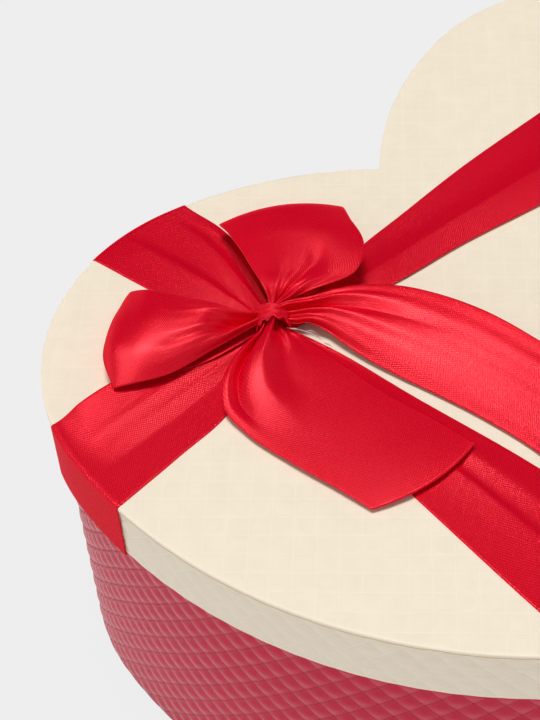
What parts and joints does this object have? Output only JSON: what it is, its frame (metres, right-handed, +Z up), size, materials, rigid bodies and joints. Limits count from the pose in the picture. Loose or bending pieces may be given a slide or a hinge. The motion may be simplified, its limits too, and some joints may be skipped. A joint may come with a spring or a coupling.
{
  "type": "heart gift box",
  "caption": "Heart-shaped rigid gift box with a quilted paper base, a lift-off cream lid with a shallow skirt, and satin ribbon straps tied in a bow on one lobe.",
  "frame": {"origin": "centre of the closed box's outline, on the surface the box stands on", "axes": "+Z up through the lid, -Y towards the heart's tip, +Y towards the cleft, the bow on the -X lobe"},
  "size_m": [0.3106, 0.3113, 0.1298],
  "materials": {
    "greyboard": "plain grey-brown chipboard",
    "base_paper": "raspberry paper embossed with padded diamonds and dotted lines",
    "lid_paper": "cream paper embossed with a fine square of dotted lines",
    "lining_paper": "smooth white lining paper",
    "ribbon": "woven red satin ribbon",
    "glue": "set hot glue, cloudy white"
  },
  "bodies": {
    "base": {"base_floor_board": "greyboard", "base_wall_board_left": "greyboard", "base_wall_board_right": "greyboard", "base_wrap": "base_paper", "base_underside_sheet": "base_paper", "base_floor_lining": "lining_paper", "base_wall_lining": "lining_paper"},
    "lid": {"lid_top_board": "greyboard", "lid_skirt_board_left": "greyboard", "lid_skirt_board_right": "greyboard", "lid_top_sheet": "lid_paper", "lid_skirt_wrap": "lid_paper", "lid_lining": "lining_paper", "lengthwise_strap": "ribbon", "crosswise_strap": "ribbon", "bow_left_loop": "ribbon", "bow_upper_loop": "ribbon", "bow_short_tail": "ribbon", "bow_long_tail": "ribbon", "bow_knot": "ribbon", "glue_dab": "glue"}
  },
  "joints": [
    {"name": "lid_lift", "type": "slide", "parent": "base", "child": "lid", "axis": [0, 0, 1], "range_m": [0, 0.06]}
  ]
}
